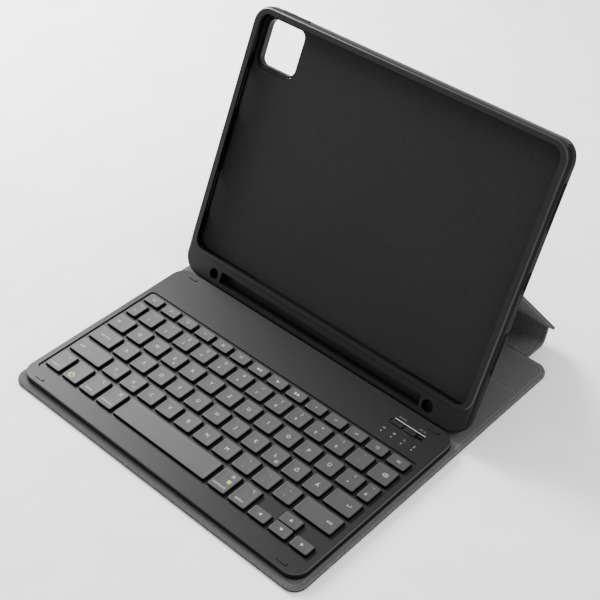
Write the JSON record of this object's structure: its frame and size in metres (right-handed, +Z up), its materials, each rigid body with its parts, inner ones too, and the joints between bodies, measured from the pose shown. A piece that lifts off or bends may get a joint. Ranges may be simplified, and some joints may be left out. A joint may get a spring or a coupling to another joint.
{
  "type": "tablet keyboard case",
  "caption": "Folio case with a slim detachable keyboard on its base and a tablet tray that leans back on a folding strut, with a pencil slot.",
  "frame": {"origin": "on the table, under the middle of the whole case's box", "axes": "+X to the right along the keyboard's width, +Y to the back, from the keyboard to the stand, +Z up"},
  "size_m": [0.2564, 0.2724, 0.1855],
  "materials": {
    "leather": "fine grained artificial leather, satin",
    "microfibre": "dark grey microfibre, matte",
    "panel_board": "pressed fibre board",
    "magnet_metal": "plated magnet",
    "tray_plastic": "matte flexible plastic",
    "deck_plastic": "matte plastic with fine texture",
    "key_plastic": "matte keycap plastic",
    "steel": "stamped steel",
    "membrane_rubber": "soft rubber",
    "circuit": "green circuit board",
    "cell_foil": "pouch cell foil",
    "clear_plastic": "clear moulded plastic"
  },
  "bodies": {
    "base": {"base_cover": "leather", "base_board": "panel_board", "base_lining": "microfibre", "base_seat_magnet": "magnet_metal", "keyboard_magnet_left": "magnet_metal", "keyboard_magnet_right": "magnet_metal"},
    "spine": {"spine_cover": "leather", "spine_board": "panel_board", "spine_lining": "microfibre"},
    "heel": {"heel_cover": "leather", "heel_board": "panel_board", "heel_lining": "microfibre"},
    "strut": {"strut_cover": "leather", "strut_board": "panel_board", "strut_lining": "microfibre"},
    "tray": {"tray_shell": "tray_plastic", "tray_liner": "microfibre", "foot_magnet": "magnet_metal", "camera_ring": "tray_plastic", "back_panel_board": "panel_board", "back_panel_cover": "leather"},
    "volume_up": {"volume_up_cover": "tray_plastic"},
    "volume_down": {"volume_down_cover": "tray_plastic"},
    "power_button": {"power_button_cover": "tray_plastic"},
    "keyboard": {"keyboard_top_cover": "deck_plastic", "keyboard_bottom_cover": "deck_plastic", "key_support_plate": "steel", "key_membrane": "membrane_rubber", "circuit_board": "circuit", "battery": "cell_foil", "usb_socket": "steel", "light_guide": "clear_plastic", "front_foot_strip": "membrane_rubber", "back_foot_strip": "membrane_rubber", "bumper_front_left": "membrane_rubber", "bumper_front_right": "membrane_rubber", "bumper_back_left": "membrane_rubber", "bumper_back_right": "membrane_rubber"},
    "power_switch": {"power_switch": "key_plastic"},
    "connect_button": {"connect_button": "key_plastic"},
    "escape_key": {"escape_key": "key_plastic"},
    "function_row_keys": {"function_row_keys": "key_plastic"},
    "number_row_keys": {"number_row_keys": "key_plastic"},
    "delete_key": {"delete_key": "key_plastic"},
    "tab_key": {"tab_key": "key_plastic"},
    "upper_row_keys": {"upper_row_keys": "key_plastic"},
    "caps_lock_key": {"caps_lock_key": "key_plastic"},
    "home_row_keys": {"home_row_keys": "key_plastic"},
    "return_key": {"return_key": "key_plastic"},
    "left_shift_key": {"left_shift_key": "key_plastic"},
    "lower_row_keys": {"lower_row_keys": "key_plastic"},
    "right_shift_key": {"right_shift_key": "key_plastic"},
    "left_modifier_keys": {"left_modifier_keys": "key_plastic"},
    "space_bar": {"space_bar": "key_plastic"},
    "right_modifier_keys": {"right_modifier_keys": "key_plastic"},
    "arrow_left_key": {"arrow_left_key": "key_plastic"},
    "arrow_down_key": {"arrow_down_key": "key_plastic"},
    "arrow_up_key": {"arrow_up_key": "key_plastic"},
    "arrow_right_key": {"arrow_right_key": "key_plastic"}
  },
  "joints": [
    {"name": "spine_fold", "type": "hinge", "parent": "base", "child": "spine", "pos_m": [0, 0.11452, 0.0013], "axis": [1, 0, 0], "range_deg": [0, 90]},
    {"name": "heel_fold", "type": "hinge", "parent": "spine", "child": "heel", "pos_m": [0, 0.13172, 0.0013], "axis": [1, 0, 0], "range_deg": [-75, 0]},
    {"name": "strut_fold", "type": "hinge", "parent": "heel", "child": "strut", "pos_m": [0, 0.13532, 0.0152], "axis": [1, 0, 0], "range_deg": [-53.8, 0]},
    {"name": "tray_tilt", "type": "hinge", "parent": "strut", "child": "tray", "pos_m": [0, 0.06972, 0.09452], "axis": [1, 0, 0], "range_deg": [0, 64.4]},
    {"name": "keyboard_lift", "type": "slide", "parent": "base", "child": "keyboard", "axis": [0, 0, 1], "range_m": [0, 0.03]},
    {"name": "power_switch_slide", "type": "slide", "parent": "keyboard", "child": "power_switch", "axis": [1, 0, 0], "range_m": [0, 0.005]},
    {"name": "connect_press", "type": "slide", "parent": "keyboard", "child": "connect_button", "axis": [0, 0, -1], "range_m": [0, 0.0005], "stiffness_N_per_m": 60, "springref_m": -0.003},
    {"name": "volume_up_press", "type": "slide", "parent": "tray", "child": "volume_up", "axis": [0, -0.4236, -0.9059], "range_m": [0, 0.0005], "stiffness_N_per_m": 60, "springref_m": -0.003},
    {"name": "volume_down_press", "type": "slide", "parent": "tray", "child": "volume_down", "axis": [0, -0.4236, -0.9059], "range_m": [0, 0.0005], "stiffness_N_per_m": 60, "springref_m": -0.003},
    {"name": "power_button_press", "type": "slide", "parent": "tray", "child": "power_button", "axis": [1, 0, 0], "range_m": [0, 0.0005], "stiffness_N_per_m": 60, "springref_m": -0.003},
    {"name": "escape_key_press", "type": "slide", "parent": "keyboard", "child": "escape_key", "axis": [0, 0, -1], "range_m": [0, 0.001], "stiffness_N_per_m": 100, "springref_m": -0.004},
    {"name": "function_row_keys_press", "type": "slide", "parent": "keyboard", "child": "function_row_keys", "axis": [0, 0, -1], "range_m": [0, 0.001], "stiffness_N_per_m": 100, "springref_m": -0.004},
    {"name": "number_row_keys_press", "type": "slide", "parent": "keyboard", "child": "number_row_keys", "axis": [0, 0, -1], "range_m": [0, 0.001], "stiffness_N_per_m": 100, "springref_m": -0.004},
    {"name": "delete_key_press", "type": "slide", "parent": "keyboard", "child": "delete_key", "axis": [0, 0, -1], "range_m": [0, 0.001], "stiffness_N_per_m": 100, "springref_m": -0.004},
    {"name": "tab_key_press", "type": "slide", "parent": "keyboard", "child": "tab_key", "axis": [0, 0, -1], "range_m": [0, 0.001], "stiffness_N_per_m": 100, "springref_m": -0.004},
    {"name": "upper_row_keys_press", "type": "slide", "parent": "keyboard", "child": "upper_row_keys", "axis": [0, 0, -1], "range_m": [0, 0.001], "stiffness_N_per_m": 100, "springref_m": -0.004},
    {"name": "caps_lock_key_press", "type": "slide", "parent": "keyboard", "child": "caps_lock_key", "axis": [0, 0, -1], "range_m": [0, 0.001], "stiffness_N_per_m": 100, "springref_m": -0.004},
    {"name": "home_row_keys_press", "type": "slide", "parent": "keyboard", "child": "home_row_keys", "axis": [0, 0, -1], "range_m": [0, 0.001], "stiffness_N_per_m": 100, "springref_m": -0.004},
    {"name": "return_key_press", "type": "slide", "parent": "keyboard", "child": "return_key", "axis": [0, 0, -1], "range_m": [0, 0.001], "stiffness_N_per_m": 100, "springref_m": -0.004},
    {"name": "left_shift_key_press", "type": "slide", "parent": "keyboard", "child": "left_shift_key", "axis": [0, 0, -1], "range_m": [0, 0.001], "stiffness_N_per_m": 100, "springref_m": -0.004},
    {"name": "lower_row_keys_press", "type": "slide", "parent": "keyboard", "child": "lower_row_keys", "axis": [0, 0, -1], "range_m": [0, 0.001], "stiffness_N_per_m": 100, "springref_m": -0.004},
    {"name": "right_shift_key_press", "type": "slide", "parent": "keyboard", "child": "right_shift_key", "axis": [0, 0, -1], "range_m": [0, 0.001], "stiffness_N_per_m": 100, "springref_m": -0.004},
    {"name": "left_modifier_keys_press", "type": "slide", "parent": "keyboard", "child": "left_modifier_keys", "axis": [0, 0, -1], "range_m": [0, 0.001], "stiffness_N_per_m": 100, "springref_m": -0.004},
    {"name": "space_bar_press", "type": "slide", "parent": "keyboard", "child": "space_bar", "axis": [0, 0, -1], "range_m": [0, 0.001], "stiffness_N_per_m": 100, "springref_m": -0.004},
    {"name": "right_modifier_keys_press", "type": "slide", "parent": "keyboard", "child": "right_modifier_keys", "axis": [0, 0, -1], "range_m": [0, 0.001], "stiffness_N_per_m": 100, "springref_m": -0.004},
    {"name": "arrow_left_key_press", "type": "slide", "parent": "keyboard", "child": "arrow_left_key", "axis": [0, 0, -1], "range_m": [0, 0.001], "stiffness_N_per_m": 100, "springref_m": -0.004},
    {"name": "arrow_down_key_press", "type": "slide", "parent": "keyboard", "child": "arrow_down_key", "axis": [0, 0, -1], "range_m": [0, 0.001], "stiffness_N_per_m": 100, "springref_m": -0.004},
    {"name": "arrow_up_key_press", "type": "slide", "parent": "keyboard", "child": "arrow_up_key", "axis": [0, 0, -1], "range_m": [0, 0.001], "stiffness_N_per_m": 100, "springref_m": -0.004},
    {"name": "arrow_right_key_press", "type": "slide", "parent": "keyboard", "child": "arrow_right_key", "axis": [0, 0, -1], "range_m": [0, 0.001], "stiffness_N_per_m": 100, "springref_m": -0.004}
  ],
  "couplings": [
    {"joint": "heel_fold", "follows": "spine_fold", "ratio": -0.8333},
    {"joint": "strut_fold", "follows": "spine_fold", "ratio": -0.5977},
    {"joint": "tray_tilt", "follows": "spine_fold", "ratio": 0.7155}
  ]
}
